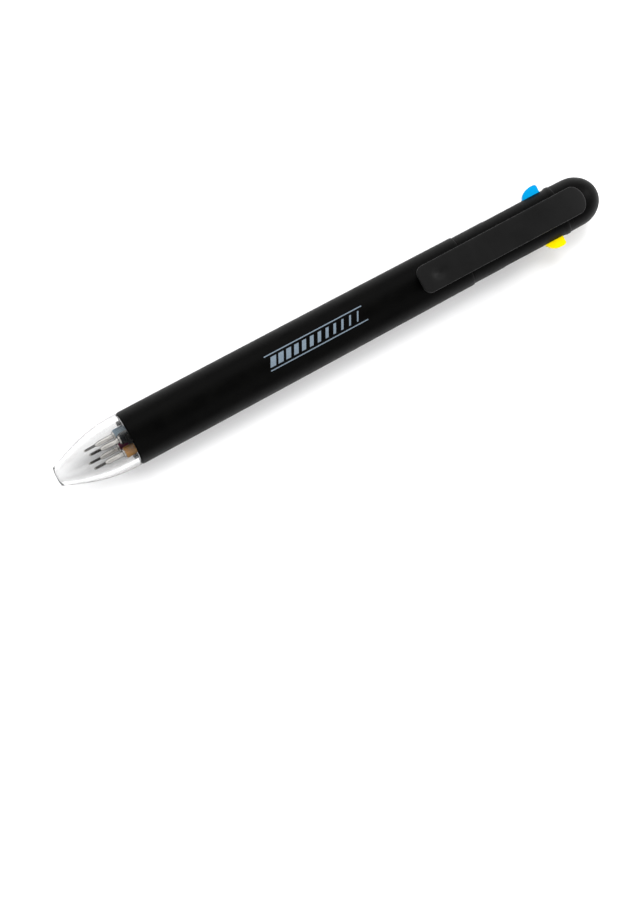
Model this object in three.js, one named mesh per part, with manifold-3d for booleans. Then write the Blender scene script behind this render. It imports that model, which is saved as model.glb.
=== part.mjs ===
// Multicolor click pen, in millimetres. Four sliders push four refills through one clear nose.
// Every piece is drawn with x = 0 at the nose tip, +X toward the tail and the axis at y = z = 0.
// The clip is on +Z. The last group lifts the pen until its lowest fin touches z = 0.
import * as THREE from 'three';
import { mergeVertices } from 'three/addons/utils/BufferGeometryUtils.js';
import Module from 'manifold-3d';

const wasm = await Module();
wasm.setup();

// Overall
const LENGTH = 145;
const SIDES = 40;

// Clear nose
const NOSE_BASE_X = 19.05;
const NOSE_BASE_R = 6.72;
const NOSE_END_R = 2.05;
const EXIT_HOLE_R = 1.75;
const SPIGOT = { x1: 25.3, outer: 5.75, inner: 5.1 };

// Barrel
const BARREL = { x0: 19.25, x1: 108.8, frontR: 6.79, rearR: 6.24, edge: 0.25 };
const BARREL_WAIST = { x: 62, r: 6.57 };
const BORE = { frontR: 5.85, frontX: 25.6, midR: 5.2, rearX: 96.5, rearR: 5.3 };

// Upper housing and the dome that closes it
const NECK = { x0: 98, outer: 5.2, inner: 4.65 };
const HOUSING = { x0: 108.95, x1: 136, outer: 6.02, rearR: 5.93, inner: 4.8, boreX: 112 };
const DOME = { x0: 136.05, r: 5.9, centreX: 138.3, hollowR: 3.2, hollowX: 141.6, flatR: 1.92 };
const DOME_SPIGOT = { x: 134, r: 4.7 };
const SLOT = { x0: 116.7, x1: 133.9, width: 2.4, z0: 3.3, z1: 7 };

// Sliders
const SLIDER = { x0: 124.8, x1: 133.2, innerR: 1.9, width: 2 };
const FLANGE = { width: 4, r0: 3.3, r1: 4.2 };
const FIN = { x0: 127.9, x1: 132.6, footX: 128.1, footR: 6.1, crestX0: 131, crestX1: 131.7, crestR: 8 };
const STEM_R = 6.75;
const ROD = { x0: 110, r: 0.85 };

// Clip
const CLIP = { x0: 96.3, x1: 140.5, width: 6.9, under: 6.8, top: 8.35, cornerR: 2, tailR: 2.7 };
const CLIP_DIP = { x: 102.8, x1: 108.6, under: 6.5, top: 8.1, curveX0: 100.1, curveX1: 105.6 };
const CLIP_FRONT = { under: 7.55, top: 8.7 };
const CLIP_TAIL = { topX: 131, x: 133, curveX: 137.1, curveTop: 8.15, under: 6.3, top: 6.8 };

// Refills: each runs straight from its rear place under a slider to its front place in the nose
const REFILL_REAR = { x: 116, r: 2.75 };
const REFILL_FRONT = { x: 9, r: 2.56 };
const REFILL_TWIST = THREE.MathUtils.degToRad(19);
const TUBE = { start: 7.8, outer: 1.35, bore: 1.0 };
const NEEDLE = { x1: 2.8, r: 0.33 };
const POINT = { x0: 3.6, r: 0.65, collarX: 7.4, collarR: 1.05, shankX: 7.75, shankR: 0.92, x1: 11 };
const BALL_R = 0.28;

// Discs that hold the refills apart
const GUIDE = { x0: 19.4, x1: 24, r: 5, lugX: 18.2, lugInner: 4.2, lugWidth: 2.4 };
const SEAT = { x0: 98.3, x1: 100.6, r: 4.58 };
const REFILL_HOLE_R = 1.6;

// Return springs
const SPRING = { x0: 100.95, x1: 124.4, r: 1.63, wireR: 0.15, turns: 7, stepsPerTurn: 12 };

// Latch core behind the sliders
const CORE = { postX: 119, postR: 0.8, plugX: 133.45, plugR: 3.1 };
const RIB = { x0: 125.2, x1: 133.75, reach: 4.4, thick: 0.5 };

// One entry for each refill: its place round the axis (0 = clip side, positive toward +Y), where its
// point stops at rest, and its colour
const INKS = [
  { name: 'black', turn: 0, ahead: -0.35, color: 0x17181a },
  { name: 'cyan', turn: 90, ahead: 0.1, color: 0x12a5e2 },
  { name: 'magenta', turn: 180, ahead: 0.25, color: 0xe0218a },
  { name: 'yellow', turn: 270, ahead: 0, color: 0xffe80a },
];

const SOFT_BLACK = { color: 0x151516, roughness: 0.72, metalness: 0 };
const SATIN_BLACK = { color: 0x1c1c1e, roughness: 0.5, metalness: 0 };
const CLEAR = { color: 0xf2f5f7, roughness: 0.08, metalness: 0, transparent: true, opacity: 0.35 };
const STEEL = { color: 0xb9b6b0, roughness: 0.28, metalness: 1 };

// ---------------------------------------------------------------------------------- helpers

// A closed geometry as a solid with its faces pointing out.
function toSolid(geometry) {
  geometry.deleteAttribute('normal');
  geometry.deleteAttribute('uv');
  const merged = mergeVertices(geometry, 1e-4);
  const position = merged.attributes.position;
  const index = merged.index.array;
  const corners = [new THREE.Vector3(), new THREE.Vector3(), new THREE.Vector3()];
  const triangles = [];
  let volume = 0;
  for (let i = 0; i < index.length; i += 3) {
    const [a, b, c] = [index[i], index[i + 1], index[i + 2]];
    if (a === b || b === c || c === a) continue;
    triangles.push([a, b, c]);
    [a, b, c].forEach((vertex, n) => corners[n].fromBufferAttribute(position, vertex));
    volume += corners[0].dot(corners[1].clone().cross(corners[2]));
  }
  const outward = volume > 0 ? triangles : triangles.map(([a, b, c]) => [a, c, b]);
  return new wasm.Manifold(new wasm.Mesh({
    numProp: 3,
    vertProperties: new Float32Array(position.array),
    triVerts: new Uint32Array(outward.flat()),
  }));
}

function toGeometry(solid) {
  const mesh = solid.getMesh();
  const geometry = new THREE.BufferGeometry();
  geometry.setAttribute('position', new THREE.BufferAttribute(mesh.vertProperties, 3));
  geometry.setIndex(new THREE.BufferAttribute(mesh.triVerts, 1));
  geometry.computeVertexNormals();
  return geometry;
}

function makeMesh(name, solid, look) {
  const mesh = new THREE.Mesh(toGeometry(solid), new THREE.MeshStandardMaterial(look));
  mesh.name = name;
  return mesh;
}

// Turns an outline of [x, radius] points round the X axis. An outline off the axis closes on itself.
function revolve(outline, sides = SIDES) {
  const onAxis = outline[0][1] === 0;
  const closed = onAxis ? outline : [...outline, outline[0]];
  const points = closed.map(([x, r]) => new THREE.Vector2(r, x));
  return toSolid(new THREE.LatheGeometry(points, sides).rotateZ(-Math.PI / 2));
}

// A side view drawn in (x, z), as thick as width across Y.
function sidePlate(shape, width, curveSegments = 5) {
  const options = { depth: width, bevelEnabled: false, curveSegments };
  const geometry = new THREE.ExtrudeGeometry(shape, options);
  return toSolid(geometry.translate(0, 0, -width / 2).rotateX(Math.PI / 2));
}

// A plan view drawn in (x, y), standing from z0 to z1.
function planPlate(shape, z0, z1, curveSegments = 6) {
  const options = { depth: z1 - z0, bevelEnabled: false, curveSegments };
  const geometry = new THREE.ExtrudeGeometry(shape, options);
  return toSolid(geometry.translate(0, 0, z0));
}

// A box centred across Y.
function block(x0, x1, width, z0, z1) {
  const geometry = new THREE.BoxGeometry(x1 - x0, width, z1 - z0);
  return toSolid(geometry.translate((x0 + x1) / 2, 0, (z0 + z1) / 2));
}

function rodAlongX(x0, x1, r, y, z, sides = 16) {
  return revolve([[x0, 0], [x0, r], [x1, r], [x1, 0]], sides).translate([0, y, z]);
}

function bezier(p0, p1, p2, p3, steps) {
  const curve = new THREE.CubicBezierCurve(...[p0, p1, p2, p3].map((p) => new THREE.Vector2(...p)));
  return curve.getPoints(steps).map((p) => [p.x, p.y]);
}

// Where the centre line of a refill is at x, as [y, z].
function refillCentre(ink, x) {
  const turn = THREE.MathUtils.degToRad(ink.turn);
  const rear = [Math.sin(turn) * REFILL_REAR.r, Math.cos(turn) * REFILL_REAR.r];
  const frontTurn = turn + REFILL_TWIST;
  const front = [Math.sin(frontTurn) * REFILL_FRONT.r, Math.cos(frontTurn) * REFILL_FRONT.r];
  const along = (x - REFILL_FRONT.x) / (REFILL_REAR.x - REFILL_FRONT.x);
  return [0, 1].map((n) => front[n] + (rear[n] - front[n]) * along);
}

// A group whose own X axis is a refill's centre line, with x = 0 at the front reference point.
function refillGroup(ink) {
  const front = new THREE.Vector3(REFILL_FRONT.x, ...refillCentre(ink, REFILL_FRONT.x));
  const rear = new THREE.Vector3(REFILL_REAR.x, ...refillCentre(ink, REFILL_REAR.x));
  const group = new THREE.Group();
  group.position.copy(front);
  group.quaternion.setFromUnitVectors(new THREE.Vector3(1, 0, 0), rear.sub(front).normalize());
  return group;
}

// A disc with one hole for each refill, where its centre line crosses the middle of the disc.
function refillDisc(x0, x1, r) {
  let disc = revolve([[x0, 0], [x0, r - 0.25], [x0 + 0.25, r], [x1, r], [x1, 0]]);
  for (const ink of INKS) {
    const [y, z] = refillCentre(ink, (x0 + x1) / 2);
    disc = disc.subtract(rodAlongX(x0 - 1, x1 + 1, REFILL_HOLE_R, y, z));
  }
  return disc;
}

// The front disc, with a lug standing forward on each of its four sides.
function refillGuide() {
  const { x0, x1, r, lugX, lugInner, lugWidth } = GUIDE;
  const ring = revolve([
    [lugX, lugInner],
    [lugX, r - 0.2],
    [lugX + 0.2, r],
    [x0 + 1, r],
    [x0 + 1, lugInner],
  ]);
  const bar = block(lugX - 1, x0 + 2, lugWidth, -r, r);
  const cross = bar.add(bar.rotate([90, 0, 0]));
  return refillDisc(x0, x1, r).add(ring.intersect(cross));
}

// -------------------------------------------------------------------------------- the shells

function noseCone() {
  const outer = bezier([0.5, 2.55], [5, 4.25], [10.5, 6.95], [NOSE_BASE_X, NOSE_BASE_R], 7);
  const cavity = bezier([2.1, 2.4], [6, 3.7], [11, 5.2], [17.5, SPIGOT.inner], 6).reverse();
  return revolve([
    [0, EXIT_HOLE_R],
    [0, NOSE_END_R],
    [0.15, 2.35],
    ...outer,
    [NOSE_BASE_X, SPIGOT.outer],
    [SPIGOT.x1, SPIGOT.outer],
    [SPIGOT.x1, SPIGOT.inner],
    ...cavity,
    [0.9, EXIT_HOLE_R],
  ]);
}

function barrel() {
  return revolve([
    [BARREL.x0, BORE.frontR],
    [BARREL.x0, BARREL.frontR - BARREL.edge],
    [BARREL.x0 + BARREL.edge, BARREL.frontR],
    [BARREL_WAIST.x, BARREL_WAIST.r],
    [BARREL.x1 - BARREL.edge, BARREL.rearR],
    [BARREL.x1, BARREL.rearR - BARREL.edge],
    [BARREL.x1, BORE.rearR],
    [BORE.rearX, BORE.rearR],
    [BORE.rearX, BORE.midR],
    [BORE.frontX, BORE.midR],
    [BORE.frontX, BORE.frontR],
  ]);
}

function sliderSlot() {
  const half = SLOT.width / 2;
  const outline = new THREE.Shape();
  outline.absarc(SLOT.x1 - half, 0, half, -Math.PI / 2, Math.PI / 2);
  outline.absarc(SLOT.x0 + half, 0, half, Math.PI / 2, Math.PI * 1.5);
  return planPlate(outline, SLOT.z0, SLOT.z1);
}

function upperHousing() {
  let shell = revolve([
    [NECK.x0, NECK.inner],
    [NECK.x0, NECK.outer],
    [HOUSING.x0, NECK.outer],
    [HOUSING.x0, HOUSING.outer - 0.2],
    [HOUSING.x0 + 0.2, HOUSING.outer],
    [SLOT.x1, HOUSING.outer],
    [HOUSING.x1, HOUSING.rearR],
    [HOUSING.x1, HOUSING.inner],
    [HOUSING.boreX, HOUSING.inner],
    [HOUSING.boreX - 0.5, NECK.inner],
  ]);
  for (const ink of INKS) {
    shell = shell.subtract(sliderSlot().rotate([-ink.turn, 0, 0]));
  }
  return shell;
}

function endDome() {
  const steps = 7;
  const cap = Array.from({ length: steps + 1 }, (_, n) => {
    const turn = (n / steps) * (Math.PI / 2);
    const x = DOME.centreX + (LENGTH - DOME.centreX) * Math.sin(turn);
    return [x, n === steps ? 0 : DOME.r * Math.cos(turn)];
  });
  return revolve([
    ...cap.reverse(),
    [DOME.x0, HOUSING.rearR],
    [DOME.x0, DOME_SPIGOT.r],
    [DOME_SPIGOT.x, DOME_SPIGOT.r],
    [DOME_SPIGOT.x, DOME.hollowR],
    [DOME.centreX, DOME.hollowR],
    [DOME.hollowX - 0.6, DOME.flatR],
    [DOME.hollowX, 0],
  ]);
}

function latchCore() {
  let core = rodAlongX(CORE.postX, CORE.plugX + 0.5, CORE.postR, 0, 0);
  core = core.add(rodAlongX(CORE.plugX, HOUSING.x1, CORE.plugR, 0, 0, 24));
  for (const turn of [45, -45]) {
    const rib = block(RIB.x0, RIB.x1, RIB.thick, -RIB.reach, RIB.reach);
    core = core.add(rib.rotate([turn, 0, 0]));
  }
  return core;
}

// -------------------------------------------------------------------------------- the sliders

// The side view of a slider on the clip side: the web that fills the slot, and its thumb piece.
function webShape(addThumb) {
  const shape = new THREE.Shape();
  shape.moveTo(SLIDER.x0, SLIDER.innerR);
  shape.lineTo(SLIDER.x1, SLIDER.innerR);
  shape.lineTo(SLIDER.x1, FLANGE.r1);
  shape.lineTo(FIN.x1, FLANGE.r1 + 0.4);
  addThumb(shape);
  shape.lineTo(FIN.x0, FLANGE.r1);
  shape.lineTo(SLIDER.x0, FLANGE.r1);
  return shape;
}

// The fin of a coloured slider.
function finOutline(shape) {
  shape.lineTo(FIN.x1, FIN.crestR - 0.7);
  shape.quadraticCurveTo(FIN.x1, FIN.crestR, FIN.crestX1, FIN.crestR);
  shape.lineTo(FIN.crestX0, FIN.crestR);
  shape.quadraticCurveTo(FIN.footX + 0.75, FIN.crestR - 0.3, FIN.footX, FIN.footR);
  shape.lineTo(FIN.x0, FIN.footR - 0.5);
}

// The short stem of the black slider, which carries the clip in place of a fin.
function stemOutline(shape) {
  shape.lineTo(FIN.x1, STEM_R);
  shape.lineTo(FIN.x0, STEM_R);
}

function slider(thumb) {
  const web = sidePlate(webShape(thumb), SLIDER.width);
  const flange = block(SLIDER.x0, SLIDER.x1, FLANGE.width, FLANGE.r0, FLANGE.r1);
  const rod = rodAlongX(ROD.x0, SLIDER.x0 + 1, ROD.r, 0, REFILL_REAR.r, 12);
  return web.add(flange).add(rod);
}

// The clip: its plan view and its side view cut from one another.
function clipPlate() {
  const half = CLIP.width / 2;
  const plan = new THREE.Shape();
  plan.absellipse(CLIP.x1 - CLIP.tailR, 0, CLIP.tailR, half, -Math.PI / 2, Math.PI / 2);
  plan.absarc(CLIP.x0 + CLIP.cornerR, half - CLIP.cornerR, CLIP.cornerR, Math.PI / 2, Math.PI);
  plan.absarc(CLIP.x0 + CLIP.cornerR, CLIP.cornerR - half, CLIP.cornerR, Math.PI, Math.PI * 1.5);

  const front = CLIP.x0 - 1;
  const tail = CLIP.x1 + 1;
  const side = new THREE.Shape();
  side.moveTo(front, CLIP_FRONT.under);
  side.quadraticCurveTo(CLIP_DIP.curveX0, CLIP_DIP.under, CLIP_DIP.x, CLIP_DIP.under);
  side.quadraticCurveTo(CLIP_DIP.curveX1, CLIP_DIP.under, CLIP_DIP.x1, CLIP.under);
  side.lineTo(CLIP_TAIL.x, CLIP.under);
  side.quadraticCurveTo(CLIP_TAIL.curveX, CLIP.under, tail, CLIP_TAIL.under);
  side.lineTo(tail, CLIP_TAIL.top);
  side.quadraticCurveTo(CLIP_TAIL.curveX, CLIP_TAIL.curveTop, CLIP_TAIL.topX, CLIP.top);
  side.lineTo(CLIP_DIP.x1, CLIP.top);
  side.quadraticCurveTo(CLIP_DIP.curveX1, CLIP_DIP.top, CLIP_DIP.x, CLIP_DIP.top);
  side.quadraticCurveTo(CLIP_DIP.curveX0, CLIP_DIP.top, front, CLIP_FRONT.top);
  return planPlate(plan, CLIP.under - 1, CLIP.top + 1).intersect(sidePlate(side, CLIP.width + 2));
}

// -------------------------------------------------------------------------------- the refills

// These are drawn on the refill's own centre line, with the tip of the point near x = 0.
function refillPoint() {
  return revolve([
    [BALL_R * 1.35, 0],
    [0.3, 0.2],
    [0.3, 0.26],
    [0.75, NEEDLE.r],
    [NEEDLE.x1, NEEDLE.r],
    [POINT.x0, POINT.r],
    [POINT.collarX, POINT.r],
    [POINT.collarX, POINT.collarR],
    [POINT.shankX, POINT.collarR],
    [POINT.shankX, POINT.shankR],
    [POINT.x1, POINT.shankR],
    [POINT.x1, 0],
  ], 16);
}

function refillBall() {
  return toSolid(new THREE.SphereGeometry(BALL_R, 8, 6).rotateZ(Math.PI / 2));
}

function refillTube(ink) {
  const start = TUBE.start - ink.ahead;
  const end = REFILL_REAR.x - REFILL_FRONT.x;
  return revolve([[start, TUBE.bore], [start, TUBE.outer], [end, TUBE.outer], [end, TUBE.bore]], 16);
}

// The centre line of a spring's wire.
class Helix extends THREE.Curve {
  getPoint(t) {
    const turn = t * SPRING.turns * Math.PI * 2;
    const x0 = SPRING.x0 + SPRING.wireR;
    const x1 = SPRING.x1 - SPRING.wireR;
    const x = x0 + (x1 - x0) * t - REFILL_FRONT.x;
    return new THREE.Vector3(x, Math.cos(turn) * SPRING.r, Math.sin(turn) * SPRING.r);
  }
}

function returnSpring() {
  const wire = new THREE.Shape();
  wire.absarc(0, 0, SPRING.wireR, 0, Math.PI * 2);
  return toSolid(new THREE.ExtrudeGeometry(wire, {
    extrudePath: new Helix(),
    steps: SPRING.turns * SPRING.stepsPerTurn,
    curveSegments: 2,
    bevelEnabled: false,
  }));
}

// ------------------------------------------------------------------------------- the assembly

const pen = new THREE.Group();
pen.position.set(-LENGTH / 2, 0, FIN.crestR);

pen.add(makeMesh('nose_cone', noseCone(), CLEAR));
pen.add(makeMesh('refill_guide', refillGuide(), SATIN_BLACK));
pen.add(makeMesh('barrel', barrel(), SOFT_BLACK));
pen.add(makeMesh('spring_seat', refillDisc(SEAT.x0, SEAT.x1, SEAT.r), SATIN_BLACK));
pen.add(makeMesh('upper_housing', upperHousing(), SOFT_BLACK));
pen.add(makeMesh('latch_core', latchCore(), SATIN_BLACK));
pen.add(makeMesh('end_dome', endDome(), SOFT_BLACK));
pen.add(makeMesh('clip_plate', clipPlate(), SATIN_BLACK));

for (const ink of INKS) {
  const plastic = { color: ink.color, roughness: 0.45, metalness: 0 };
  const thumb = ink.name === 'black' ? stemOutline : finOutline;
  const sliderMesh = makeMesh(`slider_${ink.name}`, slider(thumb), plastic);
  sliderMesh.rotation.x = THREE.MathUtils.degToRad(-ink.turn);
  pen.add(sliderMesh);

  const refill = refillGroup(ink);
  const tip = new THREE.Group();
  tip.position.x = -ink.ahead;
  tip.add(makeMesh(`point_${ink.name}`, refillPoint(), STEEL));
  tip.add(makeMesh(`ball_${ink.name}`, refillBall(), STEEL));
  refill.add(tip);
  refill.add(makeMesh(`tube_${ink.name}`, refillTube(ink), plastic));
  refill.add(makeMesh(`spring_${ink.name}`, returnSpring(), STEEL));
  pen.add(refill);
}

const assembly = new THREE.Group();
assembly.add(pen);

export default assembly;
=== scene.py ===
"""Multicolor click pen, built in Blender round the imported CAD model.

Lengths are in millimetres in the pen's own space: x runs from the nose tip to the tail, the pen's axis
is y = z = 0 and the clip is on +z. PEN puts that space into the frame, in metres.
"""

import math

import bmesh
import bpy
from mathutils import Matrix, Vector


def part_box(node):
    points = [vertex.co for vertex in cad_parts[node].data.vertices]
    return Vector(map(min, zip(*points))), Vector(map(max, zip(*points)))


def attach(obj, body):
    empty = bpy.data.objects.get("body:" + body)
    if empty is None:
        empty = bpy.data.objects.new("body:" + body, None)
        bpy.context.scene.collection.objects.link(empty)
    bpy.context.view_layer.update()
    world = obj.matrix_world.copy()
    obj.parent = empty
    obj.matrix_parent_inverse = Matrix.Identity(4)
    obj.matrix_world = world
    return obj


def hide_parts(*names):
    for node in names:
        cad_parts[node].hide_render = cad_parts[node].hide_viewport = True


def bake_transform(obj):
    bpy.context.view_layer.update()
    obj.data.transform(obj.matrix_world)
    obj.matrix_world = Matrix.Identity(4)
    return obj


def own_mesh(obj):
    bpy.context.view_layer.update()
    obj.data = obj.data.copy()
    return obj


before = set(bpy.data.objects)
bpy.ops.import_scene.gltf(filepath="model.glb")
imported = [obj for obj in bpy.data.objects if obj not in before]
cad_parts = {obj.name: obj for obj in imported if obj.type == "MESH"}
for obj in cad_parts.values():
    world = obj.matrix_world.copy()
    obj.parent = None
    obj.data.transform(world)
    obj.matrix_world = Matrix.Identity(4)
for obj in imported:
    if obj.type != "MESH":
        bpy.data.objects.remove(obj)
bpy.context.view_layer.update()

# ------------------------------------------------------------------------------ driving sizes

MM = 0.001
NOSE_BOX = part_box("nose_cone")
HOUSING_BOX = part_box("upper_housing")
DOME_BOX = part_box("end_dome")
AXIS_Z = (HOUSING_BOX[0].z + HOUSING_BOX[1].z) / 2
PEN = Matrix.Translation((NOSE_BOX[0].x, 0, AXIS_Z)) @ Matrix.Scale(MM, 4)
LENGTH = (DOME_BOX[1].x - NOSE_BOX[0].x) / MM

SIDES = 144
NOSE_BASE_X, NOSE_BASE_R = 19.05, 6.72
EXIT_HOLE_R = 1.75
SPIGOT_X, SPIGOT_R, SPIGOT_BORE = 25.3, 5.75, 5.1
BARREL_X0, BARREL_X1 = 19.25, 108.8
BARREL_FRONT_R, BARREL_REAR_R = 6.79, 6.24
BORE_STEP_X, BORE_FRONT_R, BORE_MID_R, BORE_REAR_R = 96.5, 5.85, 5.2, 5.3
HOUSING_X1, HOUSING_R, HOUSING_BORE = 136.0, 6.02, 4.8
NECK_X, NECK_R, NECK_BORE = 98.0, 5.02, 4.65
SLOT_X0, SLOT_X1, SLOT_WIDTH = 116.7, 133.9, 2.4
DOME_X, DOME_R = 138.3, 5.9
DOME_SPIGOT_X, DOME_SPIGOT_R, DOME_HOLLOW_R = 134.0, 4.7, 3.2
CLIP_X0, CLIP_X1 = 96.3, 140.5
CLIP_HALF, CLIP_CORNER, CLIP_TAIL = 3.45, 2.0, 2.7
CLIP_CROWN = 0.12
DIMPLE_X, DIMPLE_DEPTH, DIMPLE_LENGTH, DIMPLE_WIDTH = 101.5, 0.75, 1.3, 1.05
SLIDER_X0, SLIDER_X1, FIN_X0, FIN_X1, FIN_CREST = 124.8, 133.2, 127.9, 132.6, 8.0
REFILL_REAR_X, REFILL_REAR_R = 116.0, 2.75
REFILL_FRONT_X, REFILL_FRONT_R = 9.0, 2.56
REFILL_TWIST = math.radians(19)
GUIDE_X0, GUIDE_X1, GUIDE_R = 19.4, 24.0, 5.0
LUG_X, LUG_BORE, LUG_HALF = 18.2, 4.2, 1.2
SEAT_X0, SEAT_X1, SEAT_R = 98.3, 100.6, 4.58
REFILL_HOLE_R = 1.6
TUBE_START, TUBE_R, TUBE_BORE = 7.8, 1.35, 1.0
BALL_R = 0.28
COIL_R, COIL_WIRE_R, COIL_CLOSED_PITCH = 1.62, 0.16, 0.36
PRINT_THICKNESS = 0.02
SPRING_X0, SPRING_X1 = 100.95, 124.4

# name, place round the axis from the clip toward +y, how far the tip stands ahead of the others
INKS = (("black", 0, -0.35), ("cyan", 90, 0.1), ("magenta", 180, 0.25), ("yellow", 270, 0.0))

# ------------------------------------------------------------------------------ mesh helpers


def new_object(name, vertices, faces):
    """A mesh object in pen millimetres, with its faces turned outward."""
    mesh = bpy.data.meshes.new(name)
    mesh.from_pydata([tuple(v) for v in vertices], [], faces)
    shape = bmesh.new()
    shape.from_mesh(mesh)
    bmesh.ops.recalc_face_normals(shape, faces=shape.faces)
    shape.to_mesh(mesh)
    shape.free()
    obj = bpy.data.objects.new(name, mesh)
    bpy.context.scene.collection.objects.link(obj)
    return obj


def quadratic(p0, p1, p2, steps):
    """Points on a quadratic curve, both ends included."""
    found = []
    for n in range(steps + 1):
        t = n / steps
        a, b, c = (1 - t) ** 2, 2 * t * (1 - t), t * t
        found.append(tuple(a * u + b * v + c * w for u, v, w in zip(p0, p1, p2)))
    return found


def cubic(p0, p1, p2, p3, steps):
    """Points on a cubic curve, both ends included."""
    found = []
    for n in range(steps + 1):
        t = n / steps
        weights = ((1 - t) ** 3, 3 * t * (1 - t) ** 2, 3 * t * t * (1 - t), t**3)
        x, y = (sum(w * p[k] for w, p in zip(weights, (p0, p1, p2, p3))) for k in (0, 1))
        found.append((x, y))
    return found


def rounded(corners, steps=4):
    """A closed outline from (x, r, radius) corners, each rounded by its radius."""
    found = []
    for n, (x, r, radius) in enumerate(corners):
        here = Vector((x, r))
        if radius <= 0:
            found.append((x, r))
            continue
        back = Vector(corners[n - 1][:2]) - here
        ahead = Vector(corners[(n + 1) % len(corners)][:2]) - here
        start = here + back.normalized() * min(radius, back.length * 0.45)
        end = here + ahead.normalized() * min(radius, ahead.length * 0.45)
        found += quadratic(tuple(start), (x, r), tuple(end), steps)
    return found


def lathe(name, outline, sides=SIDES):
    """Turns a closed outline of (x, r) points round the pen's axis."""
    vertices, rings = [], []
    for x, r in outline:
        first = len(vertices)
        if r < 1e-6:
            vertices.append((x, 0, 0))
            rings.append([first] * sides)
            continue
        for n in range(sides):
            turn = 2 * math.pi * n / sides
            vertices.append((x, r * math.sin(turn), r * math.cos(turn)))
        rings.append(list(range(first, first + sides)))
    faces = []
    for near, far in zip(rings, rings[1:] + rings[:1]):
        for n in range(sides):
            m = (n + 1) % sides
            corners = list(dict.fromkeys((near[n], near[m], far[m], far[n])))
            if len(corners) > 2:
                faces.append(corners)
    return new_object(name, vertices, faces)


def solid_between(name, near, far):
    """A solid between two matching closed loops of points."""
    count = len(near)
    faces = [list(range(count)), list(range(count, 2 * count))]
    faces += [(n, (n + 1) % count, count + (n + 1) % count, count + n) for n in range(count)]
    return new_object(name, near + far, faces)


def prism(name, outline, half_width):
    """A closed side view of (x, z) points, as thick as twice half_width across y."""
    near, far = ([(x, side * half_width, z) for x, z in outline] for side in (-1, 1))
    return solid_between(name, near, far)


def sweep(name, path, radius, sides):
    """A round wire with closed ends along a list of points."""
    points = [Vector(p) for p in path]
    vertices, faces = [], []
    normal = None
    for n, point in enumerate(points):
        ahead = (points[min(n + 1, len(points) - 1)] - points[max(n - 1, 0)]).normalized()
        if normal is None:
            normal = ahead.orthogonal().normalized()
        normal = (normal - ahead * normal.dot(ahead)).normalized()
        across = ahead.cross(normal)
        for k in range(sides):
            turn = 2 * math.pi * k / sides
            vertices.append(point + (normal * math.cos(turn) + across * math.sin(turn)) * radius)
    for n in range(len(points) - 1):
        for k in range(sides):
            m = (k + 1) % sides
            faces.append((n * sides + k, n * sides + m, (n + 1) * sides + m, (n + 1) * sides + k))
    faces.append(list(range(sides)))
    faces.append(list(range(len(vertices) - sides, len(vertices))))
    return new_object(name, vertices, faces)


def bake(obj):
    """Applies an object's modifiers to its mesh."""
    graph = bpy.context.evaluated_depsgraph_get()
    mesh = bpy.data.meshes.new_from_object(obj.evaluated_get(graph))
    obj.modifiers.clear()
    obj.data = mesh
    return obj


def combine(obj, other, operation):
    """Joins another object to obj, or cuts it away, and removes the other."""
    modifier = obj.modifiers.new("join", "BOOLEAN")
    modifier.operation = operation
    modifier.solver = "EXACT"
    modifier.object = other
    bake(obj)
    bpy.data.objects.remove(other)
    return obj


def bevel(obj, width, segments=3, angle=38):
    """Rounds every edge sharper than angle."""
    modifier = obj.modifiers.new("bevel", "BEVEL")
    modifier.width = width
    modifier.segments = segments
    modifier.limit_method = "ANGLE"
    modifier.angle_limit = math.radians(angle)
    modifier.use_clamp_overlap = True
    return bake(obj)


def settle(obj, body, material, nodes, local=None, sharp=32):
    """Moves a finished piece into the frame and makes it ride on its body in place of its CAD nodes."""
    obj.data.transform(PEN @ (local or Matrix.Identity(4)))
    obj.data.materials.clear()
    obj.data.materials.append(material)
    for face in obj.data.polygons:
        face.use_smooth = True
        face.material_index = 0
    obj.data.set_sharp_from_angle(angle=math.radians(sharp))
    if body:
        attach(obj, body)
    if nodes:
        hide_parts(*nodes)
    return obj


def round_the_axis(degrees):
    """Turns a piece drawn on the clip side to its own side of the pen."""
    return Matrix.Rotation(math.radians(-degrees), 4, "X")


def refill_centre(degrees, x):
    """Where a refill's centre line is at x, as (y, z)."""
    rear_turn = math.radians(degrees)
    front_turn = rear_turn + REFILL_TWIST
    along = (x - REFILL_FRONT_X) / (REFILL_REAR_X - REFILL_FRONT_X)
    front = (math.sin(front_turn) * REFILL_FRONT_R, math.cos(front_turn) * REFILL_FRONT_R)
    rear = (math.sin(rear_turn) * REFILL_REAR_R, math.cos(rear_turn) * REFILL_REAR_R)
    return tuple(f + (r - f) * along for f, r in zip(front, rear))


def refill_space(degrees):
    """The space whose x axis is a refill's centre line, with x = 0 at the front reference point."""
    front = Vector((REFILL_FRONT_X, *refill_centre(degrees, REFILL_FRONT_X)))
    rear = Vector((REFILL_REAR_X, *refill_centre(degrees, REFILL_REAR_X)))
    turn = Vector((1, 0, 0)).rotation_difference(rear - front).to_matrix().to_4x4()
    return Matrix.Translation(front) @ turn


# ---------------------------------------------------------------------------------- materials


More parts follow.
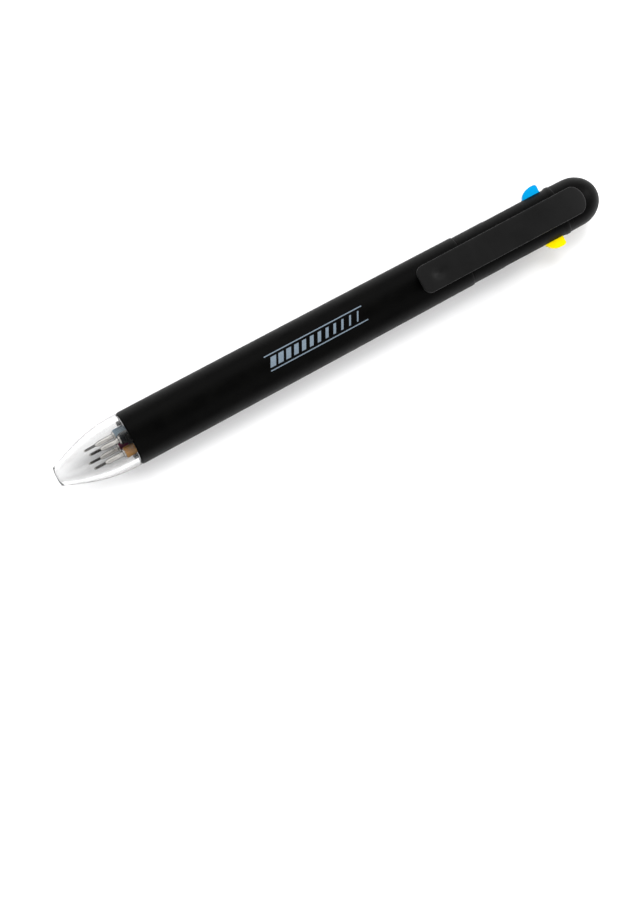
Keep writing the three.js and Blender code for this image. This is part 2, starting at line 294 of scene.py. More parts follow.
class Look:
    """A Principled material with the noise and bump nodes that its surface detail needs."""

    def __init__(self, name, color, roughness, **sockets):
        self.material = bpy.data.materials.new(name)
        self.material.use_nodes = True
        self.tree = self.material.node_tree
        self.shader = self.tree.nodes["Principled BSDF"]
        self.output = self.tree.nodes["Material Output"]
        self.shader.inputs["Base Color"].default_value = (*color, 1)
        self.shader.inputs["Roughness"].default_value = roughness
        for key, value in sockets.items():
            self.shader.inputs[key.replace("_", " ")].default_value = value
        self.place = self.node("ShaderNodeTexCoord").outputs["Object"]

    def node(self, kind, **values):
        made = self.tree.nodes.new(kind)
        for key, value in values.items():
            if key in made.inputs:
                made.inputs[key].default_value = value
            else:
                setattr(made, key, value)
        return made

    def link(self, source, target):
        self.tree.links.new(source, target)

    def noise(self, size_mm, detail=3.0, stretch=(1, 1, 1)):
        """Noise whose features are about size_mm across."""
        mapping = self.node("ShaderNodeMapping")
        mapping.inputs["Scale"].default_value = tuple(s / (size_mm * MM) for s in stretch)
        self.link(self.place, mapping.inputs["Vector"])
        texture = self.node("ShaderNodeTexNoise", Scale=1.0, Detail=detail, Roughness=0.55)
        self.link(mapping.outputs["Vector"], texture.inputs["Vector"])
        return texture.outputs["Fac"]

    def spread(self, value, low, high, start=0.3, end=0.7):
        """A value from 0 to 1 spread between two numbers."""
        ranged = self.node("ShaderNodeMapRange")
        ranged.inputs["From Min"].default_value = start
        ranged.inputs["From Max"].default_value = end
        ranged.inputs["To Min"].default_value = low
        ranged.inputs["To Max"].default_value = high
        self.link(value, ranged.inputs["Value"])
        return ranged.outputs["Result"]

    def tint(self, value, dark, light, start=0.3, end=0.7):
        """Colours the surface from dark to light by a value."""
        ramp = self.node("ShaderNodeValToRGB")
        ramp.color_ramp.elements[0].position = start
        ramp.color_ramp.elements[0].color = (*dark, 1)
        ramp.color_ramp.elements[1].position = end
        ramp.color_ramp.elements[1].color = (*light, 1)
        self.link(value, ramp.inputs["Fac"])
        self.link(ramp.outputs["Color"], self.shader.inputs["Base Color"])
        return ramp.outputs["Color"]

    def rough(self, value, low, high):
        self.link(self.spread(value, low, high), self.shader.inputs["Roughness"])

    def bump(self, value, depth_mm, strength=1.0):
        made = self.node("ShaderNodeBump", Strength=strength, Distance=depth_mm * MM)
        self.link(value, made.inputs["Height"])
        self.link(made.outputs["Normal"], self.shader.inputs["Normal"])


def soft_touch():
    """Matt rubber-like coating of the barrel, housing and dome."""
    look = Look("soft_touch_black", (0.001, 0.001, 0.001), 0.45, Specular_IOR_Level=0.055)
    look.tint(look.noise(6), (0.0005, 0.0005, 0.0005), (0.0011, 0.0011, 0.001))
    look.rough(look.noise(3), 0.4, 0.5)
    look.bump(look.noise(0.14, 2), 0.006, 0.5)
    return look.material


def satin_black():
    """Slightly smoother black plastic of the clip."""
    look = Look("satin_black", (0.008, 0.008, 0.008), 0.45, Specular_IOR_Level=0.1)
    look.tint(look.noise(5), (0.0055, 0.0055, 0.0055), (0.0072, 0.0072, 0.0072))
    look.rough(look.noise(1.5), 0.4, 0.5)
    look.bump(look.noise(0.18, 2), 0.008, 0.5)
    return look.material


def inner_black():
    """Plain black plastic of the parts inside."""
    look = Look("inner_black", (0.005, 0.005, 0.005), 0.45, Specular_IOR_Level=0.1)
    look.tint(look.noise(2), (0.004, 0.004, 0.004), (0.007, 0.007, 0.007))
    look.rough(look.noise(0.8), 0.38, 0.5)
    look.bump(look.noise(0.12, 2), 0.004, 0.4)
    return look.material


def clear_plastic():
    """Clear moulded plastic that lets most light through in its shadow, tinted grey as painted shade."""
    # The grey base colour darkens all that is seen through the nose: painted shade for the light grey
    # shading inside it.
    look = Look("clear_plastic", (0.86, 0.86, 0.86), 0.02, IOR=1.46, Transmission_Weight=1.0)
    look.rough(look.noise(0.9), 0.01, 0.03)
    look.bump(look.noise(2.4, 1), 0.002, 0.2)
    clear = look.node("ShaderNodeBsdfTransparent")
    clear.inputs["Color"].default_value = (0.84, 0.84, 0.84, 1)
    path = look.node("ShaderNodeLightPath")
    mix = look.node("ShaderNodeMixShader")
    look.link(path.outputs["Is Shadow Ray"], mix.inputs[0])
    look.link(look.shader.outputs["BSDF"], mix.inputs[1])
    look.link(clear.outputs["BSDF"], mix.inputs[2])
    look.link(mix.outputs["Shader"], look.output.inputs["Surface"])
    return look.material


def bright_plastic(name, dark, light):
    """Coloured plastic of a slider."""
    look = Look(name, light, 0.4, Specular_IOR_Level=0.06)
    look.tint(look.noise(1.5), dark, light)
    look.rough(look.noise(0.7), 0.34, 0.46)
    look.bump(look.noise(0.12, 2), 0.004, 0.4)
    return look.material


def ink_tube(name, dark, light):
    """A tube with its ink, faintly streaked along its length."""
    look = Look(name, light, 0.4, Specular_IOR_Level=0.15)
    look.tint(look.noise(1.2, 2, (0.12, 1, 1)), dark, light)
    look.rough(look.noise(0.5), 0.35, 0.5)
    look.bump(look.noise(0.6, 2, (0.2, 1, 1)), 0.004, 0.3)
    return look.material


def turned_metal(name, dark, light, shine):
    """Metal turned on a lathe, with fine rings and a painted dark outline: painted shade where the
    surface turns away from view.
    """
    look = Look(name, light, 0.2, Metallic=shine)
    rings = look.noise(0.05, 2, (1, 0.02, 0.02))
    color = look.tint(look.noise(0.5), dark, light)
    # Painted shade: the base colour darkens toward each outline, where the surface turns away from view.
    edge = look.node("ShaderNodeLayerWeight", Blend=0.5)
    painted_outline_shade = look.spread(edge.outputs["Facing"], 1.0, 0.05, 0.28, 0.55)
    scale = look.node("ShaderNodeVectorMath", operation="SCALE")
    look.link(color, scale.inputs[0])
    look.link(painted_outline_shade, scale.inputs["Scale"])
    look.link(scale.outputs["Vector"], look.shader.inputs["Base Color"])
    look.rough(rings, 0.14, 0.26)
    look.bump(rings, 0.002, 0.4)
    return look.material


def spring_wire():
    """Drawn steel wire."""
    look = Look("spring_wire", (0.55, 0.55, 0.56), 0.25, Metallic=1.0)
    look.tint(look.noise(0.4), (0.42, 0.42, 0.44), (0.62, 0.62, 0.63))
    look.rough(look.noise(0.15), 0.18, 0.36)
    return look.material


def print_ink():
    """Pale blue-grey ink printed on the barrel."""
    look = Look("print_ink", (0.13, 0.17, 0.21), 0.5, Specular_IOR_Level=0.4)
    look.tint(look.noise(0.25), (0.1, 0.135, 0.17), (0.15, 0.19, 0.23))
    look.rough(look.noise(0.2), 0.42, 0.58)
    return look.material


def pale_floor():
    """The plain pale sheet that the pen lies on."""
    look = Look("pale_floor", (0.86, 0.86, 0.87), 0.7, Specular_IOR_Level=0.2)
    look.tint(look.noise(40), (0.9, 0.9, 0.905), (0.92, 0.92, 0.925))
    look.rough(look.noise(20), 0.65, 0.75)
    return look.material


SOFT = soft_touch()
SATIN = satin_black()
INNER = inner_black()
CLEAR = clear_plastic()
METAL = turned_metal("turned_metal", (0.62, 0.6, 0.57), (0.78, 0.76, 0.72), 0.6)
# The needles take a far darker copy of the turned metal: painted shade for the dark look the needles have
# inside the nose.
NEEDLE_SHADED_METAL = turned_metal("needle_shaded_metal", (0.07, 0.065, 0.06), (0.12, 0.11, 0.1), 1.0)
WIRE = spring_wire()
PLASTIC = {
    "black": SATIN,
    "cyan": bright_plastic("cyan_plastic", (0.0, 0.25, 0.55), (0.0, 0.29, 0.62)),
    "magenta": bright_plastic("magenta_plastic", (0.62, 0.003, 0.2), (0.72, 0.006, 0.25)),
    "yellow": bright_plastic("yellow_plastic", (0.93, 0.72, 0.0), (0.98, 0.77, 0.0)),
}
TUBE = {
    "black": ink_tube("black_tube", (0.004, 0.005, 0.006), (0.009, 0.01, 0.012)),
    "cyan": ink_tube("cyan_tube", (0.06, 0.12, 0.17), (0.1, 0.18, 0.24)),
    "magenta": ink_tube("magenta_tube", (0.1, 0.008, 0.035), (0.16, 0.02, 0.06)),
    "yellow": ink_tube("yellow_tube", (0.34, 0.15, 0.02), (0.48, 0.23, 0.035)),
}

# ---------------------------------------------------------------------------------- the shells


def build_nose():
    """The clear cone with its exit hole and the spigot that plugs the barrel."""
    outer = cubic((0.5, 2.55), (5, 4.25), (10.5, 6.95), (NOSE_BASE_X - 0.1, NOSE_BASE_R), 44)
    cavity = cubic((2.1, 2.4), (6, 3.7), (11, 5.2), (17.5, SPIGOT_BORE), 36)[::-1]
    rim = quadratic((0, 2.05), (0, 2.38), (0.5, 2.55), 6)
    outline = quadratic((0.12, EXIT_HOLE_R), (0, EXIT_HOLE_R), (0, EXIT_HOLE_R + 0.12), 3)
    outline += rim + outer[1:]
    outline += [
        (NOSE_BASE_X, NOSE_BASE_R - 0.1),
        (NOSE_BASE_X, SPIGOT_R + 0.05),
        (NOSE_BASE_X + 0.05, SPIGOT_R),
        (SPIGOT_X - 0.2, SPIGOT_R),
        (SPIGOT_X, SPIGOT_R - 0.2),
        (SPIGOT_X, SPIGOT_BORE),
    ]
    outline += cavity
    outline += quadratic((1.2, EXIT_HOLE_R + 0.14), (0.95, EXIT_HOLE_R), (0.8, EXIT_HOLE_R), 4)
    nose = lathe("clear_nose", outline)
    settle(nose, "front", CLEAR, ["nose_cone"])


def barrel_radius(x):
    """The barrel narrows toward the tail, a little faster near its rear."""
    along = (x - BARREL_X0) / (BARREL_X1 - BARREL_X0)
    drop = BARREL_FRONT_R - BARREL_REAR_R
    return BARREL_FRONT_R - drop * (0.69 * along + 0.31 * along * along)


def build_barrel():
    """The barrel with rounded ends and a stepped bore."""
    steps = 36
    length = BARREL_X1 - BARREL_X0
    stations = [BARREL_X0 + 0.6 + (length - 1.2) * n / steps for n in range(steps + 1)]
    skin = [(x, barrel_radius(x)) for x in stations]
    front_edge = quadratic((BARREL_X0, BARREL_FRONT_R - 0.3), (BARREL_X0, BARREL_FRONT_R), skin[0], 6)
    rear_edge = quadratic(skin[-1], (BARREL_X1, BARREL_REAR_R), (BARREL_X1, BARREL_REAR_R - 0.3), 6)
    bore = rounded([
        (BARREL_X1, BORE_REAR_R, 0.12),
        (BORE_STEP_X, BORE_REAR_R, 0),
        (BORE_STEP_X, BORE_MID_R, 0),
        (SPIGOT_X + 0.3, BORE_MID_R, 0),
        (SPIGOT_X + 0.3, BORE_FRONT_R, 0),
        (BARREL_X0, BORE_FRONT_R, 0.1),
    ])
    barrel = lathe("barrel_shell", front_edge[:-1] + skin + rear_edge[1:] + bore)
    settle(barrel, "front", SOFT, ["barrel"])


def lugged_disc(name, x0, x1, radius):
    """The front disc, with a lug standing forward on each of its four sides."""
    disc = lathe(name, rounded([(x0, 0, 0), (x0, radius, 0.2), (x1, radius, 0.15), (x1, 0, 0)]), 96)
    outline = [(LUG_X, LUG_BORE), (LUG_X, radius), (x0 + 1, radius - 0.01), (x0 + 1, LUG_BORE)]
    ring = lathe("lugs", outline, 96)
    side_view = [(17, -radius), (x0 + 2, -radius), (x0 + 2, radius), (17, radius)]
    bar = prism("bar", side_view, LUG_HALF)
    cross = prism("bar", side_view, LUG_HALF)
    cross.data.transform(round_the_axis(90))
    combine(cross, bar, "UNION")
    combine(ring, cross, "INTERSECT")
    return combine(disc, ring, "UNION")


def refill_disc(name, x0, x1, radius, lugs=False):
    """A disc with one hole for each refill."""
    if lugs:
        disc = lugged_disc(name, x0, x1, radius)
    else:
        corners = [(x0, 0, 0), (x0, radius, 0.25), (x1, radius, 0.15), (x1, 0, 0)]
        disc = lathe(name, rounded(corners), 96)
    for _, degrees, _ in INKS:
        y, z = refill_centre(degrees, (x0 + x1) / 2)
        hole = [(x0 - 1, 0), (x0 - 1, REFILL_HOLE_R), (x1 + 1, REFILL_HOLE_R), (x1 + 1, 0)]
        drill = lathe("drill", hole, 40)
        drill.data.transform(Matrix.Translation((0, y, z)))
        combine(disc, drill, "DIFFERENCE")
    return bevel(disc, 0.09, 2, 50)


def slot_cutter(degrees):
    """The solid that cuts one slider slot."""
    half = SLOT_WIDTH / 2
    steps = 12
    outline = []
    for centre, start in ((SLOT_X1 - half, -90), (SLOT_X0 + half, 90)):
        for n in range(steps + 1):
            turn = math.radians(start + 180 * n / steps)
            outline.append((centre + half * math.cos(turn), half * math.sin(turn)))
    inner, outer = ([(x, y, z) for x, y in outline] for z in (HOUSING_BORE - 1.6, HOUSING_R + 1))
    cutter = solid_between("slot_cutter", inner, outer)
    cutter.data.transform(round_the_axis(degrees))
    return cutter


def build_housing():
    """The rear housing with its neck and the four slider slots."""
    outline = rounded([
        (NECK_X, NECK_BORE, 0.1),
        (NECK_X, NECK_R, 0.2),
        (108.2, NECK_R, 0.1),
        (108.35, 5.22, 0.1),
        (BARREL_X1 + 0.02, 5.22, 0),
        (BARREL_X1 + 0.02, HOUSING_R, 0.08),
        (114, HOUSING_R, 0),
        (SLOT_X1 - 0.5, HOUSING_R, 0.3),
        (SLOT_X1 + 0.1, HOUSING_R + 0.14, 0.2),
        (SLOT_X1 + 0.8, HOUSING_R + 0.1, 0.2),
        (SLOT_X1 + 1.0, HOUSING_R - 0.05, 0.2),
        (HOUSING_X1, HOUSING_R - 0.09, 0),
        (HOUSING_X1, HOUSING_BORE, 0),
        (112, HOUSING_BORE, 0),
        (111.5, NECK_BORE, 0),
    ])
    housing = lathe("housing_shell", outline)
    for _, degrees, _ in INKS:
        combine(housing, slot_cutter(degrees), "DIFFERENCE")
    bevel(housing, 0.16, 3, 50)
    settle(housing, "housing", SOFT, ["upper_housing"])


def build_neck_thread():
    """The raised screw thread on the neck, which shows when the barrel is off."""
    turns, steps, x0, pitch = 4, 60, 101.5, 1.3
    path = []
    for n in range(turns * steps + 1):
        turn = 2 * math.pi * n / steps
        fade = min(1, n / 20, (turns * steps - n) / 20)
        radius = NECK_R - 0.1 + 0.12 * fade
        path.append((x0 + pitch * n / steps, radius * math.sin(turn), radius * math.cos(turn)))
    thread = sweep("neck_thread", path, 0.2, 8)
    settle(thread, "housing", SOFT, [])


def build_dome():
    """The rounded cap behind the slots."""
    steps = 28
    cap = []
    for n in range(steps + 1):
        turn = math.pi / 2 * n / steps
        radius = DOME_R * math.cos(turn) if n < steps else 0
        cap.append((DOME_X + (LENGTH - DOME_X) * math.sin(turn), radius))
    hollow = quadratic((139, DOME_HOLLOW_R), (141.4, 3), (141.6, 0), 10)[::-1]
    front = [
        (DOME_SPIGOT_X, DOME_HOLLOW_R),
        (DOME_SPIGOT_X, DOME_SPIGOT_R),
        (HOUSING_X1 + 0.01, DOME_SPIGOT_R),
        (HOUSING_X1 + 0.01, HOUSING_R - 0.09),
    ]
    outline = hollow + front + cap
    dome = lathe("dome_cap", outline)
    settle(dome, "housing", SOFT, ["end_dome"])


# ------------------------------------------------------------------------------------ the clip


def curve_height(points, x):
    """The height at x of a smooth curve through (x, height, slope) points."""
    for (x0, z0, s0), (x1, z1, s1) in zip(points, points[1:]):
        if x <= x1:
            break
    step = x1 - x0
    t = max(0.0, min(1.0, (x - x0) / step))
    a, b = 2 * t**3 - 3 * t**2 + 1, t**3 - 2 * t**2 + t
    c, d = -2 * t**3 + 3 * t**2, t**3 - t**2
    return a * z0 + b * step * s0 + c * z1 + d * step * s1


# (x, height, slope) along the clip's underside and top
CLIP_UNDER = (
    (95.3, 7.55, -0.3),
    (102.8, 6.5, 0.0),
    (108.6, 6.8, 0.0),
    (133.0, 6.8, 0.0),
    (141.5, 6.3, -0.06),
)
CLIP_TOP = (
    (95.3, 8.62, 0.02),
    (98.2, 8.5, -0.07),
    (102.8, 8.2, 0.0),
    (108.6, 8.35, 0.0),
    (131.0, 8.35, 0.0),
    (137.1, 7.85, -0.16),
    (141.5, 6.85, -0.28),
)


def clip_outline(inset, stations, across):
    """The clip's plan, set in by inset: the +y side to the tail, then the tail, -y side and front."""
    half = CLIP_HALF - inset
    corner = CLIP_CORNER - inset
    tail = CLIP_TAIL - inset
    x0, x1 = CLIP_X0 + CLIP_CORNER, CLIP_X1 - CLIP_TAIL
    left = []
    corner_steps, side_steps, tail_steps = stations
    for n in range(corner_steps + 1):
        turn = math.pi / 2 * n / corner_steps
        left.append((x0 - corner * math.cos(turn), half - corner + corner * math.sin(turn)))
    left += [(x0 + (x1 - x0) * n / side_steps, half) for n in range(1, side_steps + 1)]
    for n in range(1, tail_steps + 1):
        turn = math.radians(82) * n / tail_steps
        left.append((x1 + tail * math.sin(turn), half * math.cos(turn)))
    x_tail, y_tail = left[-1]
    x_front, y_front = left[0]
    ends = [1 - 2 * n / across for n in range(1, across)]
    tail_end = [(x_tail, y_tail * e) for e in ends]
    front_end = [(x_front, -y_front * e) for e in ends]
    right = [(x, -y) for x, y in reversed(left)]
    return left + tail_end + right + front_end, len(left)


def clip_top(x, y):
    """The clip's top: its bend, a slight crown across and the pressed dimple near the free end."""
    crown = CLIP_CROWN * (1 - (y / CLIP_HALF) ** 2) - CLIP_CROWN
    away = ((x - DIMPLE_X) / DIMPLE_LENGTH) ** 2 + (y / DIMPLE_WIDTH) ** 2
    dimple = DIMPLE_DEPTH * math.exp(-away)
    return curve_height(CLIP_TOP, x) + crown - dimple


def build_clip():
    """The clip: rings round its plan, closed underneath and on top by rows across it."""
    edge, arc_steps, across = 0.34, 5, 20
    stations = (8, 130, 14)
    rings = []
    for top in (False, True):
        order = range(arc_steps, -1, -1) if top else range(arc_steps + 1)
        for n in order:
            turn = math.pi / 2 * n / arc_steps
            rings.append((edge * (1 - math.sin(turn)), edge * (1 - math.cos(turn)), top))
    vertices, faces = [], []
    for inset, lift, top in rings:
        plan, _ = clip_outline(inset, stations, across)
        for x, y in plan:
            if top:
                vertices.append((x, y, clip_top(x, y) - lift))
            else:
                vertices.append((x, y, curve_height(CLIP_UNDER, x) + lift))
    count = len(plan)
    for n in range(len(rings) - 1):
        for k in range(count):
            m = (k + 1) % count
            faces.append((n * count + k, n * count + m, (n + 1) * count + m, (n + 1) * count + k))
    plan, left_count = clip_outline(edge, stations, across)
    for ring, top in ((0, False), (len(rings) - 1, True)):
        first = ring * count
        rows = []
        for i in range(left_count):
            left = first + i
            right = first + 2 * left_count + across - 2 - i
            row = [left]
            if i == 0:
                row += [first + count - 1 - n for n in range(across - 1)]
            elif i == left_count - 1:
                row += [first + left_count + n for n in range(across - 1)]
            else:
                x, y = plan[i]
                for n in range(1, across):
                    y_here = y * (1 - 2 * n / across)
                    row.append(len(vertices))
                    height = clip_top(x, y_here) if top else curve_height(CLIP_UNDER, x)
                    vertices.append((x, y_here, height))
            row.append(right)
            rows.append(row)
        for near, far in zip(rows, rows[1:]):
            for n in range(across):
                faces.append((near[n], near[n + 1], far[n + 1], far[n]))
    clip = new_object("clip_blade", vertices, faces)
    settle(clip, "black_slider", SATIN, ["clip_plate"], sharp=50)


# --------------------------------------------------------------------------------- the sliders


def slider_outline(thumb):
    """The side view of a slider, with its thumb piece given."""
    return [
        (SLIDER_X0, 1.9),
        (SLIDER_X1, 1.9),
        (SLIDER_X1, 4.2),
        (FIN_X1, 4.6),
        *thumb,
        (FIN_X0, 4.2),
        (SLIDER_X0, 4.2),
    ]


def fin_thumb():
    """The side view of a coloured fin."""
    rear = quadratic((FIN_X1, 7.3), (FIN_X1, FIN_CREST), (131.7, FIN_CREST), 8)
    slope = quadratic((131.0, FIN_CREST), (128.85, 7.7), (128.1, 6.1), 14)
    return rear + slope + [(FIN_X0, 5.6)]


def stem_thumb():
    """The side view of the stem that carries the clip."""
    return [(FIN_X1, 6.78), (FIN_X0, 6.78)]


def build_slider(name, degrees):
    """A slider: its web, flange and the rod that pushes its refill."""
    thumb = stem_thumb() if name == "black" else fin_thumb()
    web = prism(f"slider_{name}_piece", slider_outline(thumb), 1.0)
    side_view = [(SLIDER_X0, 3.3), (SLIDER_X1, 3.3), (SLIDER_X1, 4.15), (SLIDER_X0, 4.15)]
    flange = prism("flange", side_view, 2.0)
    combine(web, flange, "UNION")
    bevel(web, 0.15 if name == "black" else 0.3, 4, 40)
    rod = lathe("rod", [(110, 0), (110.3, 0.6), (110.8, 0.85), (125.6, 0.85), (125.6, 0)], 32)
    rod.data.transform(Matrix.Translation((0, 0, REFILL_REAR_R)))
    combine(web, rod, "UNION")
    settle(web, f"{name}_slider", PLASTIC[name], [f"slider_{name}"], round_the_axis(degrees), 40)


# --------------------------------------------------------------------------------- the refills


def build_point(name, degrees, ahead):
    """A writing point: its needle, its turned body with the shank, and its ball."""
    local = refill_space(degrees) @ Matrix.Translation((-ahead, 0, 0))
    needle_outline = [(0.1, 0), (0.06, 0.255), (0.16, 0.28)]
    needle_outline += quadratic((0.3, 0.29), (0.6, 0.32), (1.0, 0.33), 4)
    needle_outline += [(2.95, 0.335), (2.95, 0)]
    needle = lathe(f"needle_{name}", needle_outline, 48)
    settle(needle, f"{name}_tip", NEEDLE_SHADED_METAL, [], local, 40)
    outline = [(2.76, 0), (2.76, 0.345)]
    outline += quadratic((2.8, 0.36), (2.86, 0.42), (3.0, 0.46), 3)
    outline += quadratic((3.3, 0.56), (3.5, 0.64), (3.8, 0.64), 5)
    groove = [(6.5, 0.65), (6.58, 0.6), (6.74, 0.6), (6.82, 0.65)]
    collar = [(7.2, 0.65), (7.32, 0.8), (7.4, 1.02), (7.46, 1.05), (7.72, 1.05), (7.75, 1.02)]
    shank = [(7.75, 0.92), (11, 0.92), (11, 0)]
    outline += groove + collar + shank
    point = lathe(f"tip_{name}", outline, 48)
    settle(point, f"{name}_tip", METAL, [f"point_{name}"], local, 40)
    steps = 12
    profile = []
    for n in range(steps + 1):
        turn = math.pi * n / steps
        radius = BALL_R * math.sin(turn) if 0 < n < steps else 0
        profile.append((-BALL_R * math.cos(turn), radius))
    ball = lathe(f"writing_ball_{name}", profile, 24)
    settle(ball, f"{name}_tip", METAL, [f"ball_{name}"], local)


def build_tube(name, degrees, ahead):
    """An ink tube between its slider and its tip."""
    start = TUBE_START - ahead
    end = REFILL_REAR_X - REFILL_FRONT_X
    steps = 150
    stations = [start + (end - start) * n / steps for n in range(steps + 1)]
    outline = [(start, TUBE_BORE), (start, TUBE_R - 0.06), (start + 0.06, TUBE_R)]
    outline += [(x, TUBE_R) for x in stations[1:-1]]
    outline += [(end - 0.06, TUBE_R), (end, TUBE_R - 0.06), (end, TUBE_BORE)]
    outline += [(x, TUBE_BORE) for x in reversed(stations[1:-1])]
    tube = lathe(f"ink_tube_{name}", outline, 40)
    settle(tube, None, TUBE[name], [f"tube_{name}"], refill_space(degrees))
    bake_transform(tube)


def build_spring(name, degrees):
    """A wire coil with two closed turns at each end and an open pitch between."""
    x0 = SPRING_X0 - REFILL_FRONT_X + 0.17
    x1 = SPRING_X1 - REFILL_FRONT_X - 0.17
    turns, steps = 19, 26
    path = []
    for n in range(turns * steps + 1):
        t = n / (turns * steps)
        closed = 2 / turns
        open_share = max(0.0, min(1.0, (t - closed) / (1 - 2 * closed)))
        end_turns = min(t, closed) + max(0.0, t - (1 - closed))
        open_length = x1 - x0 - 4 * COIL_CLOSED_PITCH
        x = x0 + end_turns * turns * COIL_CLOSED_PITCH + open_share * open_length
        turn = 2 * math.pi * n / steps
        path.append((x, COIL_R * math.sin(turn), COIL_R * math.cos(turn)))
    spring = sweep(f"coil_{name}", path, COIL_WIRE_R, 8)
    settle(spring, "housing", WIRE, [f"spring_{name}"], refill_space(degrees))
    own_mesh(spring)


# --------------------------------------------------------------------------------- the imprint


def barrel_patch(name, x0, x1, y0, y1, lean=0.0):
    """A thin printed patch that follows the barrel between two lengths and two widths."""
    columns, rows = 24, 4
    vertices = []
    for layer in (-PRINT_THICKNESS, PRINT_THICKNESS):
        for i in range(columns + 1):
            for j in range(rows + 1):
                x = x0 + (x1 - x0) * i / columns
                y = y0 + (y1 - y0) * j / rows
                x += lean * y
                r = barrel_radius(x) + layer
                turn = y / BARREL_FRONT_R
                vertices.append((x, r * math.sin(turn), r * math.cos(turn)))
    layer_size = (columns + 1) * (rows + 1)

    def index(layer, i, j):
        return layer * layer_size + i * (rows + 1) + j

    faces = []
    for i in range(columns):
        for j in range(rows):
            top = (index(1, i, j), index(1, i + 1, j), index(1, i + 1, j + 1), index(1, i, j + 1))
            under = (index(0, i, j), index(0, i, j + 1), index(0, i + 1, j + 1), index(0, i + 1, j))
            faces += [top, under]
    for i in range(columns):
        for j in (0, rows):
            faces.append((index(0, i, j), index(0, i + 1, j), index(1, i + 1, j), index(1, i, j)))
    for j in range(rows):
        for i in (0, columns):
            faces.append((index(0, i, j), index(0, i, j + 1), index(1, i, j + 1), index(1, i, j)))
    return new_object(name, vertices, faces)


def build_imprint():
    """A plain printed motif: two long rules with a row of slanted strokes that thins out between them."""
    parts = [barrel_patch("imprint", 55.6, 81.6, side - 0.14, side + 0.14) for side in (1.9, -1.9)]
    x, width = 56.4, 1.5
    for _ in range(12):
        parts.append(barrel_patch("stroke", x, x + width, -1.15, 1.15, lean=0.5))
        x += 2.1
        width -= 0.1
    target = parts[0]
    shape = bmesh.new()
    for part in parts:
        shape.from_mesh(part.data)
    shape.to_mesh(target.data)
    shape.free()
    for part in parts[1:]:
        bpy.data.objects.remove(part)
    settle(target, "front", print_ink(), [])


# --------------------------------------------------------------------------------- the assembly

build_nose()
build_barrel()
guide = refill_disc("guide_disc", GUIDE_X0, GUIDE_X1, GUIDE_R, lugs=True)
settle(guide, "front", INNER, ["refill_guide"])
build_imprint()
build_housing()
build_neck_thread()
build_dome()
seat = refill_disc("seat_disc", SEAT_X0, SEAT_X1, SEAT_R)
settle(seat, "housing", INNER, ["spring_seat"])
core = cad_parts["latch_core"]
core.data.materials.clear()
core.data.materials.append(INNER)
build_clip()
for ink_name, ink_turn, ink_ahead in INKS:
    build_slider(ink_name, ink_turn)
    build_point(ink_name, ink_turn, ink_ahead)
    build_tube(ink_name, ink_turn, ink_ahead)
    build_spring(ink_name, ink_turn)

# ------------------------------------------------------------------- floor, light and camera


def build_floor():
    """A pale sheet that touches the barrel's front edge and the lowest fin."""
    fin_point = PEN @ Vector((131.1, 0, -FIN_CREST))
    front_point = PEN @ Vector((BARREL_X0 + 0.6, 0, -BARREL_FRONT_R))
    slope = (front_point.z - fin_point.z) / (front_point.x - fin_point.x)
    half = 2.5
    corners = [
        (x, y, fin_point.z - 0.00005 + slope * (x - fin_point.x))
        for x, y in ((-half, -half), (half, -half), (half, half), (-half, half))
    ]
    floor = new_object("floor", corners, [(0, 1, 2, 3)])
    floor.data.materials.append(pale_floor())


def add_light(name, place, size, power, mirrored=False):
    """A square soft light at place, aimed at the pen, seen in reflections only when mirrored."""
    data = bpy.data.lights.new(name, "AREA")
    data.shape = "SQUARE"
    data.size = size
    data.energy = power
    light = bpy.data.objects.new(name, data)
    bpy.context.scene.collection.objects.link(light)
    light.location = place
    light.rotation_mode = "QUATERNION"
    light.rotation_quaternion = (-Vector(place)).to_track_quat("-Z", "Y")
    light.visible_glossy = mirrored
    light.visible_transmission = mirrored


VIEW_TURN = math.radians(28.19)
VIEW_TILT = math.radians(6)
VIEW = Vector((math.sin(VIEW_TILT), 0, -math.cos(VIEW_TILT)))
ALONG = Vector((math.cos(VIEW_TILT), 0, math.sin(VIEW_TILT)))
ACROSS = Vector((0, 1, 0))
RIGHT = ALONG * math.cos(VIEW_TURN) - ACROSS * math.sin(VIEW_TURN)
UP = ALONG * math.sin(VIEW_TURN) + ACROSS * math.cos(VIEW_TURN)


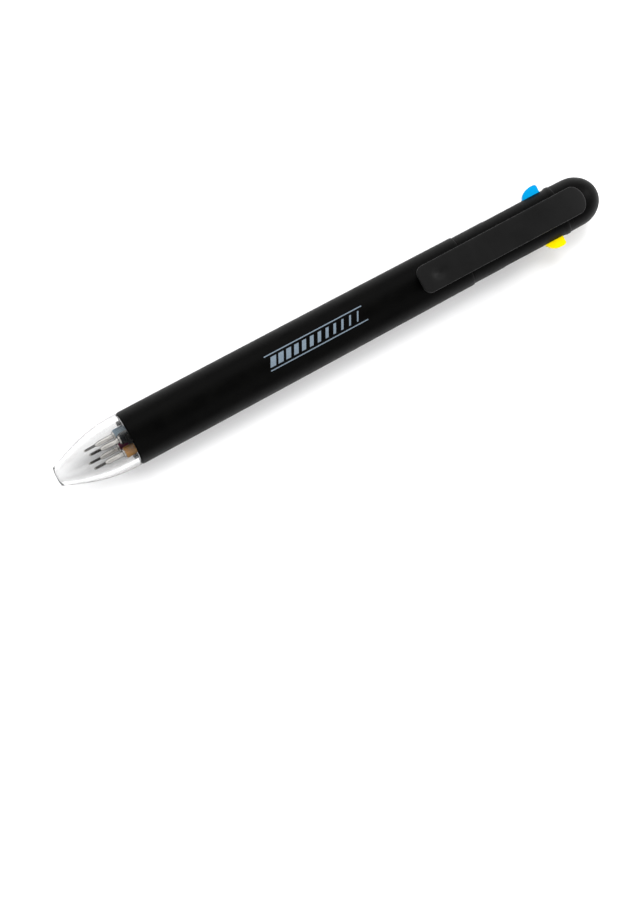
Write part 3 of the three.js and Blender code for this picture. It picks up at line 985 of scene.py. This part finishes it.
def build_camera():
    """Looks down on the clip from far off, with the pen crossing the upper half of the frame."""
    distance = 1.2
    frame_height = 0.2168
    shift_right, shift_up = 0.00194, 0.03002
    data = bpy.data.cameras.new("camera")
    data.sensor_fit = "AUTO"
    data.sensor_width = 36
    data.lens = 18 / (frame_height / 2 / distance)
    data.clip_start, data.clip_end = 0.01, 20
    camera = bpy.data.objects.new("camera", data)
    bpy.context.scene.collection.objects.link(camera)
    middle = PEN @ Vector((LENGTH / 2, 0, 0))
    target = middle - RIGHT * shift_right - UP * shift_up
    turn = Matrix((RIGHT, UP, -VIEW)).transposed().to_4x4()
    camera.matrix_world = Matrix.Translation(target - VIEW * distance) @ turn
    bpy.context.scene.camera = camera


def build_world():
    """Soft studio surroundings: bright at mid height, dark overhead and below, brighter on one side."""
    world = bpy.data.worlds.new("studio")
    world.use_nodes = True
    tree = world.node_tree
    background = tree.nodes["Background"]
    place = tree.nodes.new("ShaderNodeTexCoord")
    height = tree.nodes.new("ShaderNodeSeparateXYZ")
    tree.links.new(place.outputs["Generated"], height.inputs["Vector"])
    ramp = tree.nodes.new("ShaderNodeValToRGB")
    stops = ((0.2, 0.05), (0.48, 1.3), (0.78, 1.3), (0.9, 0.08))
    while len(ramp.color_ramp.elements) < len(stops):
        ramp.color_ramp.elements.new(0.5)
    for element, (position, value) in zip(ramp.color_ramp.elements, stops):
        element.position = position
        element.color = (value, value, value, 1)
    tree.links.new(height.outputs["Z"], ramp.inputs["Fac"])
    tree.links.new(ramp.outputs["Color"], background.inputs["Color"])
    side = tree.nodes.new("ShaderNodeVectorMath")
    side.operation = "DOT_PRODUCT"
    side.inputs[1].default_value = (0.6, 0.8, 0)
    tree.links.new(place.outputs["Generated"], side.inputs[0])
    level = tree.nodes.new("ShaderNodeMapRange")
    level.inputs["From Min"].default_value = -0.9
    level.inputs["From Max"].default_value = 0.9
    level.inputs["To Min"].default_value = 0.45
    level.inputs["To Max"].default_value = 1.5
    tree.links.new(side.outputs["Value"], level.inputs["Value"])
    tree.links.new(level.outputs["Result"], background.inputs["Strength"])
    bpy.context.scene.world = world


build_floor()
build_world()
add_light("key", Vector((0.4, 0.7, 1.3)), 0.9, 21)
add_light("fill", Vector((0.1, -0.9, 1.1)), 0.9, 8)
add_light("tail", Vector((1.15, 0.1, 0.5)), 0.35, 5, mirrored=True)
build_camera()
bpy.context.scene.view_settings.view_transform = "Standard"
bpy.context.scene.view_settings.look = "None"

bpy.context.view_layer.update()
